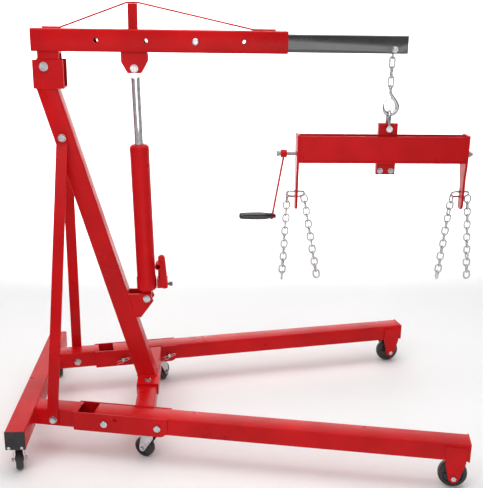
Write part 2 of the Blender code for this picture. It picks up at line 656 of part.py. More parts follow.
def make_pump(hinge):
    """The pump block beside the ram's base, with its barrel, plunger, lever and release valve."""
    frame = ram_frame()
    block = put("pump_block", box_mesh("pump_block", (0.040, 0.036, 0.036)), "red_paint",
                frame @ Matrix.Translation((0.0598, 0, 0.054)), hinge)
    join(block, rod_mesh("barrel", 0.011, 0.062, 16), frame @ Matrix.Translation((0.0550, 0.006, 0.095)))
    drill_at = frame @ Matrix.Translation((0.0550, 0.006, 0.105))
    cut(block, rod_mesh("bore", 0.0066, 0.060, 12), drill_at)
    plunger_top = frame @ Matrix.Translation((0.0550, 0.006, 0.078))
    drawn = pivot("pump_plunger_slide", plunger_top.translation.copy())
    profile = [(0, 0.077), (0.0085, 0.077), (0.0085, 0.069), (0.0062, 0.069), (0.0062, 0.026), (0, 0.026)]
    turned("pump_plunger", profile, "zinc", plunger_top, drawn, 14)
    lever_pin = frame @ Matrix.Translation((0.0690, -0.0255, 0.050))
    lever = pivot("pump_lever_hinge", lever_pin.translation.copy())
    link = strap(0.0690, 0.050, 0.012, 0.062, 0.158, 0.013)
    beside = frame @ Matrix.Translation((0, -0.0255, 0)) @ FLAT
    bar = slab("pump_lever", [link], 0.012, "red_paint", beside, lever)
    for radius, length, y, shape in ((0.0125, 0.046, -0.030, join), (0.0085, 0.040, -0.037, cut)):
        turn = frame @ Matrix.Translation((0.050, y, 0.132)) @ FLAT
        shape(bar, rod_mesh("socket", radius, length, 16), turn)
    knob_at = frame @ Matrix.Translation((0.0801, -0.004, 0.048))
    turn = pivot("release_valve_turn", knob_at.translation.copy())
    profile = [(0, 0.018), (0.007, 0.018), (0.0085, 0.016), (0.0085, 0.006)]
    profile += [(0.005, 0.006), (0.005, 0), (0, 0)]
    turned("release_valve", profile, "black_paint", knob_at @ Matrix.Rotation(math.pi / 2, 4, "Y"), turn, 14)


def make_ram_rod():
    reach = ram_length()
    slide = pivot("ram_rod_slide", (ram_frame() @ Matrix.Translation((0, 0, 0.2))).translation.copy())
    profile = [(0, reach - 0.012), (0.0165, reach - 0.012), (0.0165, 0.200), (0, 0.200)]
    rod = turned("ram_rod", profile, "chrome", ram_frame(), slide, 24)
    eye = strap(0, reach, 0.0175, 0, reach - 0.018, 0.0175)
    lug = slab_mesh("eye", [eye, circle(0, reach, 0.0083)], 0.044)
    join(rod, lug, ram_frame() @ FLAT)


# ---- chain, hook and leveller ----
def chain_mesh(name, length, wide, wire):
    """A plain strand with a chain's width both ways: its links are a plus section."""
    a, b = wide / 2, wire / 2
    plus = [(a, b), (b, b), (b, a), (-b, a), (-b, b), (-a, b)]
    plus += [(-x, -z) for x, z in plus]
    return slab_mesh(name, [plus], length)


def make_load_chain():
    top = CHAIN_BOLT[1] - 0.006 - GAP
    swing = pivot("load_chain_swing", Vector((CHAIN_BOLT[0], 0, CHAIN_BOLT[1])))
    length = top - HOOK_TOP_Z
    where = Matrix.Translation((CHAIN_BOLT[0], 0, top - length / 2))
    put("load_chain", chain_mesh("load_chain", length, 0.022, 0.007), "zinc", where, swing)


def make_hook():
    """An eye at the top, a shank and a round bowl."""
    x, top = CHAIN_BOLT[0], HOOK_TOP_Z - GAP
    radius, bowl_z, bowl = 0.0075, 1.235, 0.025
    points = [(x, 0, top), (x, 0, top - 0.012), (x + 0.008, 0, top - 0.026), (x + 0.021, 0, top - 0.044)]
    for i in range(11):
        t = math.radians(30 - 21 * i)
        points.append((x + 0.004 + bowl * math.cos(t), 0, bowl_z + bowl * math.sin(t)))
    turn = pivot("hook_turn", Vector((x, 0, top)))
    put("hook", wire_mesh("hook", points, radius, facets=3), "zinc", Matrix(), turn)
    return bowl_z - bowl + radius


def make_shackle(bowl_top):
    """A bow that hangs in the hook's bowl, with its pin through the carriage."""
    x, half, radius = CHAIN_BOLT[0], 0.020, 0.0055
    crown = bowl_top + radius + 0.001 - half
    points = [(x, -half, SHACKLE_PIN_Z)]
    for i in range(9):
        t = math.pi - i * math.pi / 8
        points.append((x, half * math.cos(t), crown + half * math.sin(t)))
    points.append((x, half, SHACKLE_PIN_Z))
    shackle = put("shackle", wire_mesh("shackle", points, radius), "zinc", Matrix())
    join(shackle, rod_mesh("pin", 0.0065, 0.066, 14), along((x, 0, SHACKLE_PIN_Z), (0, 1, 0)))
    for y in (-half - 0.005, half + 0.005):
        join(shackle, rod_mesh("ear", 0.0115, 0.011, 14), along((x, y, SHACKLE_PIN_Z), (0, 1, 0)))


def make_carriage():
    """The plate that the shackle lifts: it stands between the leveller's two channels on the screw's nut."""
    x = CHAIN_BOLT[0]
    tilt = pivot("leveller_tilt", Vector((x, 0, SHACKLE_PIN_Z)))
    plate = [(x - 0.035, 0.990), (x + 0.035, 0.990), (x + 0.035, 1.178), (x - 0.035, 1.178)]
    holes = [circle(x, SHACKLE_PIN_Z, 0.0069, 14), circle(x - 0.020, 1.004, 0.0052, 12)]
    holes.append(circle(x + 0.020, 1.004, 0.0052, 12))
    carriage = slab("leveller_carriage", [plate, *holes], 0.020, "red_paint",
                    axes((0, 0, 0), (1, 0, 0), (0, 0, 1)), tilt)
    drill(carriage, (x, 0, SCREW_Z), (1, 0, 0), 0.0074, 0.2, 14)


def make_leveller():
    """Two channels facing each other, with an end plate welded across each end."""
    slide = pivot("leveller_slide", Vector((CHAIN_BOLT[0], 0, SCREW_Z)))
    plates = []
    for label, face, way in (("rear", LEVELLER_X[0], 1), ("front", LEVELLER_X[1], -1)):
        near = [(-0.033, LEVELLER_TOP + 0.004), (-0.033, 1.020), (-0.027, 0.985)]
        near += [(-0.027, END_PLATE_LOW + 0.016)]
        foot = [(-0.021, END_PLATE_LOW + 0.004), (-0.0075, END_PLATE_LOW), (0.006, END_PLATE_LOW + 0.004)]
        far = [(0.012, END_PLATE_LOW + 0.016), (0.012, 0.950), (0.033, 1.020), (0.033, LEVELLER_TOP + 0.004)]
        plate = near + foot + far
        holes = [circle(0, SCREW_Z, 0.0074, 14), circle(0, RING_Z + RING_Y, 0.0065, 14)]
        where = axes((face + way * END_PLATE / 2, 0, 0), (0, 1, 0), (0, 0, 1))
        plates.append(([plate, *holes], where))
        make_ring(label, face + way * END_PLATE / 2, slide)
    leveller = slab("leveller_beam", plates[0][0], END_PLATE, "red_paint", plates[0][1], slide)
    middle, half = (LEVELLER_TOP + LEVELLER_BOTTOM) / 2, (LEVELLER_TOP - LEVELLER_BOTTOM) / 2
    start, end = LEVELLER_X[0] + END_PLATE / 2, LEVELLER_X[1] - END_PLATE / 2
    for side in (-1, 1):
        web, inner, low = side * 0.030, side * 0.026, 0.004 - half
        flange = [(side * 0.016, low), (side * 0.016, -half), (side * 0.037, -half), (side * 0.037, low)]
        shape = flange + [(web, low), (web, half), (inner, half), (inner, low)]
        where = axes(((start + end) / 2, 0, middle), (0, 1, 0), (0, 0, 1))
        join(leveller, slab_mesh("channel", [shape], end - start), where)
    join(leveller, slab_mesh("plate", plates[1][0], END_PLATE), plates[1][1])
    return slide


def make_ring(label, x, anchor):
    """An oval link threaded through the end plate's hole, hanging aslant in front of the plate."""
    across, up = Vector((1, 0, 0)), Vector((0, -1, 1)).normalized()
    middle = Vector((x, RING_Y, RING_Z))
    points = []
    for sign in (1, -1):
        for i in range(7):
            t = -math.pi / 2 + i * math.pi / 6
            reach = across * sign * (0.018 + 0.016 * math.cos(t)) + up * sign * RING_HALF * math.sin(t)
            points.append(middle + reach)
    put(f"{label}_ring", wire_mesh(f"{label}_ring", points, 0.0042, closed=True), "zinc", Matrix(), anchor)


def make_leveller_chain(name, ring_x, side, lean):
    """One hanging chain, from the end of a ring."""
    top = Vector((ring_x + side * 0.030, RING_Y, RING_Z))
    way = Vector((math.sin(lean), 0, -math.cos(lean)))
    swing = pivot(f"{name}_swing", top)
    where = along(top + way * (RING_DROP + LEVELLER_CHAIN / 2), way)
    put(name, chain_mesh(name, LEVELLER_CHAIN, 0.027, 0.007), "zinc", where, swing)


def make_crank(slide):
    """The leveller's screw, its crank arm and the spinning grip."""
    turn = pivot("crank_turn", Vector((CRANK_X, 0, SCREW_Z)))
    rear, front = 0.944, LEVELLER_X[1] + 0.024
    profile = [(0, front), (0.007, front), (0.007, front - 0.007), (0.012, front - 0.007)]
    profile += [(0.012, front - 0.020), (0.007, front - 0.020), (0.007, rear + 0.012)]
    profile += [(0.0105, rear + 0.012), (0.0105, rear), (0, rear)]
    turned("leveller_screw", profile, "zinc", along((0, 0, SCREW_Z), (1, 0, 0)), turn, 16)
    hub = [circle(0, 0, 0.0145, 14), circle(0, 0, 0.0073, 14)]
    arm = slab("crank_arm", hub, 0.022, "red_paint", axes((CRANK_X, 0, SCREW_Z), (0, 1, 0), (0, 0, 1)), turn)
    top, low = Vector((CRANK_X, 0, SCREW_Z - 0.011)), Vector((0.932, 0, GRIP_Z - 0.012))
    way = (low - top).normalized()
    join(arm, box_mesh("bar", (0.018, 0.006, (low - top).length)), along((top + low) / 2, way))
    drill(arm, (0.935, 0, GRIP_Z), (1, 0, 0), 0.0045, 0.05, 12)
    spin = pivot("grip_spin", Vector((0.93, 0, GRIP_Z)))
    profile = [(0, 0.945), (0.008, 0.945), (0.008, 0.9405), (0.0041, 0.9405), (0.0041, 0.920), (0.010, 0.920)]
    profile += [(0.0135, 0.912), (0.0145, 0.86), (0.0125, 0.816), (0.009, 0.810), (0, 0.810)]
    turned("crank_grip", profile, "grip_black", along((0, 0, GRIP_Z), (1, 0, 0)), spin, 20)


# ---- the whole crane ----
def main():
    make_rear_beam()
    make_cross_beam()
    make_mast()
    for name, side in SIDES.items():
        make_rail(name, side)
        make_socket(name, side)
        make_brace(name, side)
        make_leg(name, side)
        make_front_wheel(name, side)
        make_pin(f"{name}_pivot_pin", side, PIVOT_PIN)
        make_pin(f"{name}_lock_pin", side, LOCK_PIN)
    socket_low = LEG_BOTTOM - GAP - SOCKET_WALL
    for name, side in SIDES.items():
        rear = (BEAM / 2, side * (REAR_HALF - 0.040))
        heading = math.radians(105 if side < 0 else -75)
        make_caster(f"{name}_rear_caster", (*rear, 0), heading, BEAM_Z - BEAM / 2)
        middle = leg_point(side, 0.418, -LEG_WIDTH / 2, 0)
        heading = math.radians(150 if side < 0 else 62)
        make_caster(f"{name}_middle_caster", middle, heading, socket_low)
    hinge = pivot("boom_hinge", Vector((BOOM_PIVOT[0], 0, BOOM_PIVOT[1])))
    make_boom(hinge)
    make_boom_brackets(hinge)
    make_truss(hinge)
    make_extension()
    base = pivot("ram_base_hinge", Vector((RAM_BASE[0], 0, RAM_BASE[1])))
    make_ram_cylinder(base)
    make_pump(base)
    make_ram_rod()
    make_load_chain()
    bowl_top = make_hook()
    make_shackle(bowl_top)
    make_carriage()
    slide = make_leveller()
    make_crank(slide)
    rear, front = LEVELLER_X[0] + END_PLATE / 2, LEVELLER_X[1] - END_PLATE / 2
    chains = (("rear_left", rear, -1, -2), ("rear_right", rear, 1, 11))
    chains += (("front_left", front, -1, -5), ("front_right", front, 1, 5))
    for label, ring_x, side, lean in chains:
        make_leveller_chain(f"{label}_chain", ring_x, side, math.radians(lean))


main()
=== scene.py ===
"""Looks of a folding engine hoist crane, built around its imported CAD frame.

Metres, +Z up, +X from the rear beam towards the hook. A piece that rides on a body is modelled where it
stands at rest.
"""

import json
import math
import random

import bmesh
import bpy
from mathutils import Matrix, Vector, noise


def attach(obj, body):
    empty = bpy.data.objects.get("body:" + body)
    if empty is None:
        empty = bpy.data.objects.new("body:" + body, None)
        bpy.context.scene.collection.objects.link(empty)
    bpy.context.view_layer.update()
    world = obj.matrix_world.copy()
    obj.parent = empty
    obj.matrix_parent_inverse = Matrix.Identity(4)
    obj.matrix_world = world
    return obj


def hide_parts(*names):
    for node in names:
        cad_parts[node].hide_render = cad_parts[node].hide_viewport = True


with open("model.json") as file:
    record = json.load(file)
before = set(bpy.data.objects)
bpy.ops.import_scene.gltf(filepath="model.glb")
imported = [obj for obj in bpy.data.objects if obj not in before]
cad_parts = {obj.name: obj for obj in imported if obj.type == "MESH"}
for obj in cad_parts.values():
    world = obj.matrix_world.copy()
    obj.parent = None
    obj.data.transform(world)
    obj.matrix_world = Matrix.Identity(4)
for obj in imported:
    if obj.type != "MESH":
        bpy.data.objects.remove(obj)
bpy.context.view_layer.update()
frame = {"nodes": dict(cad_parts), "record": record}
NODES = frame["nodes"]
RECORD = frame["record"]
BODY_OF = {node: body for body, nodes in RECORD["behaviour"]["bodies"].items() for node in nodes}
SLOT_OF = {part["node"]: part["material_slot"] for part in RECORD["subparts"]}

# ---- places that the CAD frame doesn't name, in its own frame ----
ORIGIN_X = -0.8565
LEG_ANGLE = math.radians(10.8)
LEG_WIDTH = 0.075
BEAM_HALF = 0.035
BEAM_Z = 0.147
BEAM_END_Y = 0.4252
PIN_Z = 0.1427
SADDLE_TOP_Z = 0.1904
MAST_TOP_Z = 1.2925
BOOM_BOTTOM_Z = 1.4183
BOOM_TOP_Z = 1.4955
CASTER_Y = 0.385
REAR_CASTER_TOP = 0.112
MIDDLE_CASTER_TOP = 0.1097
HANG_X = ORIGIN_X + 1.347
CHAIN_BOLT_Z = 1.4385
HOOK_TOP_Z = 1.3137
RING_Z = 0.9115
RING_Y = 0.0124
RING_X = (ORIGIN_X + 1.0200, ORIGIN_X + 1.6410)
CHAIN_WIRE = 0.0066
LOAD_LINKS = 4
END_LINKS = 13
SIDES = {"left": 1, "right": -1}


def leg_point(side, along, out, height):
    x = ORIGIN_X + 0.070 + along * math.cos(LEG_ANGLE) - out * math.sin(LEG_ANGLE)
    y = 0.2596 + along * math.sin(LEG_ANGLE) + out * math.cos(LEG_ANGLE)
    return Vector((x, side * y, height))


def leg_way(side):
    return Vector((math.cos(LEG_ANGLE), side * math.sin(LEG_ANGLE), 0))


def out_way(side):
    return Vector((-math.sin(LEG_ANGLE), side * math.cos(LEG_ANGLE), 0))


# ---- materials ----
def new_material(name, colour, roughness, metallic=0.0):
    made = bpy.data.materials.new(name)
    made.use_nodes = True
    shader = made.node_tree.nodes["Principled BSDF"]
    shader.inputs["Base Color"].default_value = (*colour, 1)
    shader.inputs["Roughness"].default_value = roughness
    shader.inputs["Metallic"].default_value = metallic
    return made, shader


def add_node(mat, kind, **inputs):
    made = mat.node_tree.nodes.new(kind)
    for name, value in inputs.items():
        made.inputs[name.replace("_", " ")].default_value = value
    return made


def link(mat, source, target):
    mat.node_tree.links.new(source, target)


def noise_of(mat, scale, detail=3.0, roughness=0.5):
    """A noise texture in the object's own metres."""
    place = add_node(mat, "ShaderNodeTexCoord")
    made = add_node(mat, "ShaderNodeTexNoise", Scale=scale, Detail=detail, Roughness=roughness)
    link(mat, place.outputs["Object"], made.inputs["Vector"])
    return made.outputs["Fac"]


def ramp_of(mat, factor, stops):
    made = add_node(mat, "ShaderNodeValToRGB")
    link(mat, factor, made.inputs["Fac"])
    ramp = made.color_ramp
    ramp.elements[0].position, ramp.elements[0].color = stops[0]
    ramp.elements[1].position, ramp.elements[1].color = stops[-1]
    for place, colour in stops[1:-1]:
        ramp.elements.new(place).color = colour
    return made.outputs["Color"]


def grey(value):
    return (value, value, value, 1)


def roughen(mat, shader, scale, low, high):
    """Roughness that drifts between two values over the surface."""
    made = add_node(mat, "ShaderNodeMapRange")
    made.inputs["From Min"].default_value = 0.3
    made.inputs["From Max"].default_value = 0.7
    made.inputs["To Min"].default_value = low
    made.inputs["To Max"].default_value = high
    link(mat, noise_of(mat, scale), made.inputs["Value"])
    link(mat, made.outputs["Result"], shader.inputs["Roughness"])


def bump(mat, shader, height, strength, distance):
    made = add_node(mat, "ShaderNodeBump", Strength=strength, Distance=distance)
    link(mat, height, made.inputs["Height"])
    link(mat, made.outputs["Normal"], shader.inputs["Normal"])


def painted(name, colour, roughness, peel, gloss, coat):
    """Powder coat: a slow drift of tone and of gloss, and a fine orange peel."""
    mat, shader = new_material(name, colour, roughness)
    light = tuple(min(1, c * 1.10 + 0.001) for c in colour)
    dark = tuple(c * 0.86 for c in colour)
    tone = ramp_of(mat, noise_of(mat, 5.0), [(0.35, (*dark, 1)), (0.65, (*light, 1))])
    link(mat, tone, shader.inputs["Base Color"])
    roughen(mat, shader, 9.0, roughness - 0.06, roughness + 0.08)
    bump(mat, shader, noise_of(mat, 420.0, 2.0), peel, 0.0006)
    shader.inputs["Specular IOR Level"].default_value = gloss
    shader.inputs["Coat Weight"].default_value = coat
    shader.inputs["Coat Roughness"].default_value = 0.12
    return mat


def plated(name, colour, low, high, grain):
    """Bare or plated metal with a slight grain and cloudy roughness."""
    mat, shader = new_material(name, colour, low, 1.0)
    dark = tuple(c * 0.72 for c in colour)
    tone = ramp_of(mat, noise_of(mat, 60.0, 4.0), [(0.30, (*dark, 1)), (0.62, (*colour, 1))])
    link(mat, tone, shader.inputs["Base Color"])
    roughen(mat, shader, 45.0, low, high)
    bump(mat, shader, noise_of(mat, 700.0, 3.0), grain, 0.0003)
    return mat


def moulded(name, colour, roughness, coat):
    """Black plastic with a fine moulded texture."""
    mat, shader = new_material(name, colour, roughness)
    light = tuple(c * 1.7 + 0.004 for c in colour)
    tone = ramp_of(mat, noise_of(mat, 30.0, 4.0), [(0.4, (*colour, 1)), (0.8, (*light, 1))])
    link(mat, tone, shader.inputs["Base Color"])
    roughen(mat, shader, 70.0, roughness - 0.05, roughness + 0.1)
    bump(mat, shader, noise_of(mat, 900.0, 2.0), 0.25, 0.0003)
    shader.inputs["Coat Weight"].default_value = coat
    shader.inputs["Coat Roughness"].default_value = 0.08
    return mat


def threaded(name, colour, pitch):
    """Zinc rod with rolled thread ridges across X, and painted shade darkening the bottom of each groove."""
    mat, shader = new_material(name, colour, 0.3, 1.0)
    place = add_node(mat, "ShaderNodeTexCoord")
    wave = add_node(mat, "ShaderNodeTexWave", Scale=0.3142 / pitch, Distortion=0.0)
    wave.bands_direction = "X"
    link(mat, place.outputs["Object"], wave.inputs["Vector"])
    # Painted shade: the colour runs dark at the bottom of each thread groove, on the same waves as the bump.
    tone = ramp_of(mat, wave.outputs["Fac"], [(0.1, grey(0.22)), (0.7, (*colour, 1))])
    link(mat, tone, shader.inputs["Base Color"])
    bump(mat, shader, wave.outputs["Fac"], 0.9, 0.0008)
    return mat


MATERIALS = {
    "red_paint": painted("red_powder_coat", (0.56, 0.0040, 0.0065), 0.32, 0.10, 0.14, 0.02),
    "black_paint": painted("black_gloss_paint", (0.008, 0.008, 0.009), 0.22, 0.06, 1.0, 1.0),
    "chrome": plated("hard_chrome", (0.82, 0.83, 0.85), 0.05, 0.12, 0.01),
    "zinc": plated("bright_zinc", (0.62, 0.62, 0.64), 0.14, 0.30, 0.10),
    "wheel_black": moulded("black_nylon", (0.012, 0.012, 0.013), 0.42, 0.1),
    "grip_black": moulded("gloss_black_grip", (0.006, 0.006, 0.007), 0.18, 0.7),
    "thread": threaded("threaded_zinc", (0.72, 0.72, 0.74), 0.004),
    # Flat black for the open rear beam ends, a painted shade that stands in for the shaded inside of the
    # tube.
    "dark": moulded("tube_inside_painted_shade", (0.010, 0.010, 0.011), 0.55, 0.0),
}


# ---- pieces ----
def show(name, mesh, slot, body, smooth=40.0, bevel=0.0, segments=2):
    """A new piece that rides on a body, with soft edges and sharp creases kept by angle."""
    work = bmesh.new()
    work.from_mesh(mesh)
    bmesh.ops.remove_doubles(work, verts=work.verts, dist=0.00002)
    bmesh.ops.recalc_face_normals(work, faces=work.faces)
    limit = math.radians(smooth)
    for face in work.faces:
        face.smooth = True
    for edge in work.edges:
        edge.smooth = len(edge.link_faces) == 2 and edge.calc_face_angle() < limit
    work.to_mesh(mesh)
    work.free()
    made = bpy.data.objects.new(name, mesh)
    bpy.context.scene.collection.objects.link(made)
    mesh.materials.clear()
    mesh.materials.append(MATERIALS[slot])
    if bevel:
        step = made.modifiers.new("edges", "BEVEL")
        step.width = bevel
        step.segments = segments
        step.limit_method = "ANGLE"
        step.angle_limit = math.radians(38)
        step.harden_normals = True
    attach(made, body)
    return made


def flat_faced(mesh):
    """The same shape with its coplanar triangles merged, so that a bevel follows the real edges."""
    work = bmesh.new()
    work.from_mesh(mesh)
    bmesh.ops.remove_doubles(work, verts=work.verts, dist=0.00002)
    bmesh.ops.dissolve_limit(work, angle_limit=math.radians(1.5), verts=work.verts, edges=work.edges)
    out = bpy.data.meshes.new(mesh.name + "_faces")
    work.to_mesh(out)
    work.free()
    return out


def dress(node, bevel=0.0012, slot=None):
    """A copy of a CAD node with rounded edges and its finish, in place of the node."""
    made = show(node + "_look", flat_faced(NODES[node].data), slot or SLOT_OF[node], BODY_OF[node], 33, bevel)
    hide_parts(node)
    return made


def merged(pieces):
    """Several (mesh, matrix) shapes as one mesh."""
    work = bmesh.new()
    for mesh, matrix in pieces:
        copy = mesh.copy()
        copy.transform(matrix)
        work.from_mesh(copy)
        bpy.data.meshes.remove(copy)
    out = bpy.data.meshes.new("merged")
    work.to_mesh(out)
    work.free()
    return out


def prism(sides, radius, height, chamfer=0.0):
    """A prism or a cylinder about Z that stands on the origin, its top edge chamfered."""
    work = bmesh.new()
    rings = [(radius, 0), (radius, height)]
    if chamfer:
        rings[1:] = [(radius, height - chamfer), (radius - chamfer, height)]
    loops = []
    for r, z in rings:
        turn = [2 * math.pi * i / sides for i in range(sides)]
        loops.append([work.verts.new((r * math.cos(t), r * math.sin(t), z)) for t in turn])
    for low, high in zip(loops, loops[1:]):
        for i in range(sides):
            j = (i + 1) % sides
            work.faces.new((low[i], low[j], high[j], high[i]))
    work.faces.new(list(reversed(loops[0])))
    work.faces.new(loops[-1])
    out = bpy.data.meshes.new("prism")
    work.to_mesh(out)
    work.free()
    return out


def along(place, way, spin=0.0):
    way = Vector(way).normalized()
    made = way.to_track_quat("Z", "Y").to_matrix().to_4x4() @ Matrix.Rotation(spin, 4, "Z")
    made.translation = Vector(place)
    return made


def swept(points, radius, closed=False, sides=8, radii=None):
    """A round wire along points."""
    points = [Vector(p) for p in points]
    count = len(points)
    work = bmesh.new()
    loops = []
    up = None
    for i, place in enumerate(points):
        before = points[i - 1] if i or closed else place
        after = points[(i + 1) % count] if i < count - 1 or closed else place
        way = (after - before).normalized()
        if up is None:
            up = way.orthogonal().normalized()
        up = (up - way * up.dot(way)).normalized()
        side = way.cross(up)
        r = radii[i] if radii else radius
        loop = []
        for k in range(sides):
            t = 2 * math.pi * k / sides
            loop.append(work.verts.new(place + (up * math.cos(t) + side * math.sin(t)) * r))
        loops.append(loop)
    pairs = list(zip(loops, loops[1:]))
    if closed:
        pairs.append((loops[-1], loops[0]))
    for low, high in pairs:
        for k in range(sides):
            n = (k + 1) % sides
            work.faces.new((low[k], low[n], high[n], high[k]))
    if not closed:
        work.faces.new(list(reversed(loops[0])))
        work.faces.new(loops[-1])
    out = bpy.data.meshes.new("wire")
    work.to_mesh(out)
    work.free()
    return out


def link_mesh(length, width, wire, steps=7, sides=8):
    """An oval chain link in the XZ plane, its outside length along Z."""
    half_w, half_l = (width - wire) / 2, (length - wire) / 2
    straight = half_l - half_w
    points = []
    for end in (1, -1):
        for i in range(steps + 1):
            t = math.pi * i / steps
            points.append((end * half_w * math.cos(t), 0, end * (straight + half_w * math.sin(t))))
    return swept(points, wire / 2, True, sides)


def chain(name, top, way, count, pitch, width, wire, node, spin=0.0):
    """A strand of links from top along way, each turned a quarter from the last."""
    rng = random.Random(name)
    one = link_mesh(pitch + 2 * wire, width, wire)
    pieces = []
    for i in range(count):
        turn = spin + math.pi / 2 * (i % 2) + rng.uniform(-0.16, 0.16)
        sway = Vector((rng.uniform(-1, 1), rng.uniform(-1, 1), 0)) * 0.0006
        pieces.append((one, along(Vector(top) + Vector(way) * pitch * (i + 0.5) + sway, way, turn)))
    made = show(name, merged(pieces), "zinc", BODY_OF[node], 60)
    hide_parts(node)
    return made


def extent(node, way):
    """Where a node starts and ends along a direction, and its middle."""
    way = Vector(way).normalized()
    places = [v.co for v in NODES[node].data.vertices]
    reach = [p.dot(way) for p in places]
    low, high = min(reach), max(reach)
    middle = sum(places, Vector()) / len(places)
    middle -= way * middle.dot(way)
    return middle + way * low, middle + way * high, way


def hex_bolt(node, way, shank, head, nut=True):
    """A hex bolt, its washers and its nut in place of a CAD bolt, head first along way."""
    low, high, way = extent(node, way)
    pieces = [
        (prism(6, head, 0.0075, 0.0012), along(low + way * 0.0075, -way, 0.3)),
        (prism(24, head * 0.72, 0.0008), along(low, -way)),
        (prism(24, head * 1.12, 0.0016, 0.0003), along(low + way * 0.0093, -way)),
        (prism(16, shank, (high - low).length - 0.009), along(low + way * 0.008, way)),
    ]
    if nut:
        pieces.append((prism(6, head, 0.0085, 0.0012), along(high - way * 0.0125, way, 0.8)))
        pieces.append((prism(24, head * 1.12, 0.0016, 0.0003), along(high - way * 0.0140, way)))
    made = show(node + "_look", merged(pieces), "zinc", BODY_OF[node], 30)
    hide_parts(node)
    return made


def small_bolt(name, place, way, head, height, body, washer=True):
    pieces = [(prism(6, head, height, height * 0.18), along(place, way, 0.4))]
    if washer:
        pieces.append((prism(20, head * 1.3, 0.0012, 0.0003), along(place, way)))
    return show(name, merged(pieces), "zinc", body, 30)


def weld(name, points, body, radius=0.0026):
    """A painted weld bead: a lumpy wire with ripples, half sunk in the joint."""
    dense = []
    for a, b in zip(points, points[1:]):
        a, b = Vector(a), Vector(b)
        steps = max(2, int((b - a).length / 0.0024))
        dense += [a.lerp(b, i / steps) for i in range(steps)]
    dense.append(Vector(points[-1]))
    radii = []
    for i, spot in enumerate(dense):
        ripple = 0.22 * math.sin(i * 2.1) + 0.18 * noise.noise(spot * 90)
        radii.append(radius * (1 + ripple))
    radii[0] *= 0.4
    radii[-1] *= 0.4
    return show(name, swept(dense, radius, False, 7, radii), "red_paint", body, 80)


def clip(name, place, way, down, body, size):
    """A spring clip: one straight leg through the pin and one bowed leg round it."""
    way, down = Vector(way).normalized(), Vector(down).normalized()
    place = Vector(place)
    points = [place + down * size * 0.75, place - down * size * 0.45]
    for i in range(9):
        t = math.pi * i / 8
        back = down * size * (0.45 + 0.22 * math.sin(t))
        points.append(place - back + way * size * 0.11 * (1 - math.cos(t)))
    bow = ((0.0, 0.22), (0.18, 0.36), (0.36, 0.22), (0.52, 0.26), (0.72, 0.38))
    points += [place + down * size * a + way * size * b for a, b in bow]
    return show(name, swept(points, 0.0011, False, 6), "zinc", body, 80)


# ---- painted steel ----
def dress_structure():
    big = ["rear_beam", "cross_beam", "mast", "boom", "ram_clevis", "hinge_lugs"]
    big += ["leveller_beam", "leveller_carriage"]
    for side in SIDES:
        big += [f"{side}_rail", f"{side}_socket", f"{side}_leg", f"{side}_brace"]
    for node in big:
        dress(node, 0.0016)
    for node in ("pump_block", "pump_lever", "crank_arm", "ram_cylinder"):
        dress(node, 0.0012)
    dress("extension", 0.0014)
    dress("truss_rod", 0.0)
    dress("release_valve", 0.0006)
    dress("ram_rod", 0.0006)
    dress("pump_plunger", 0.0006)
    dress("shackle", 0.0)
    for label in ("rear", "front"):
        dress(label + "_ring", 0.0)
    dress("leveller_screw", 0.0006, "thread")
    for side in SIDES:
        for label in ("pivot", "lock"):
            dress(f"{side}_{label}_pin", 0.0006)
    dress("extension_pin", 0.0006)


def dress_bolts():
    hex_bolt("brace_top_bolt", (0, 1, 0), 0.0079, 0.0125)
    hex_bolt("ram_base_bolt", (0, 1, 0), 0.0079, 0.0125)
    hex_bolt("boom_pivot_bolt", (0, 1, 0), 0.0099, 0.0140)
    hex_bolt("chain_bolt", (0, 1, 0), 0.0060, 0.0100)
    for name, side in SIDES.items():
        hex_bolt(f"{name}_brace_bolt", -out_way(side), 0.0079, 0.0125)
        hex_bolt(f"{name}_ram_head_bolt", (0, -side, 0), 0.0079, 0.0125, False)


# ---- wheels ----
def lathe(profile, steps=40):
    """A solid of revolution about Z from (radius, height) points."""
    work = bmesh.new()
    loops = []
    for r, z in profile:
        if r < 0.00001:
            loops.append([work.verts.new((0, 0, z))])
            continue
        turn = [2 * math.pi * i / steps for i in range(steps)]
        loops.append([work.verts.new((r * math.cos(t), r * math.sin(t), z)) for t in turn])
    for a, b in zip(loops, loops[1:]):
        for i in range(steps):
            j = (i + 1) % steps
            corners = [a[i % len(a)], a[j % len(a)], b[j % len(b)], b[i % len(b)]]
            unique = list(dict.fromkeys(corners))
            if len(unique) > 2:
                work.faces.new(unique)
    out = bpy.data.meshes.new("lathe")
    work.to_mesh(out)
    work.free()
    return out


def wheel_shape(radius, half):
    """A moulded wheel: crowned tread, shoulder groove, dished web with ribs, and hub."""
    profile = [(0, half + 0.0015), (radius * 0.24, half + 0.0015), (radius * 0.30, half)]
    profile += [(radius * 0.34, half - 0.004), (radius * 0.66, half - 0.004), (radius * 0.70, half - 0.0005)]
    profile += [(radius * 0.86, half - 0.0005), (radius * 0.90, half - 0.0016)]
    profile += [(radius * 0.955, half - 0.003)]
    profile += [(radius * 0.99, half * 0.5), (radius, half * 0.2)]
    back = [(r, -z) for r, z in reversed(profile)]
    pieces = [(lathe(profile + back), Matrix())]
    for k in range(6):
        for face in (1, -1):
            rib = prism(4, 0.0030, radius * 0.36, 0.0)
            turn = Matrix.Rotation(math.pi / 3 * k, 4, "Z")
            start = Matrix.Translation((radius * 0.31, 0, face * (half - 0.0042)))
            pieces.append((rib, turn @ start @ Matrix.Rotation(math.pi / 2, 4, "Y")))
    return merged(pieces)


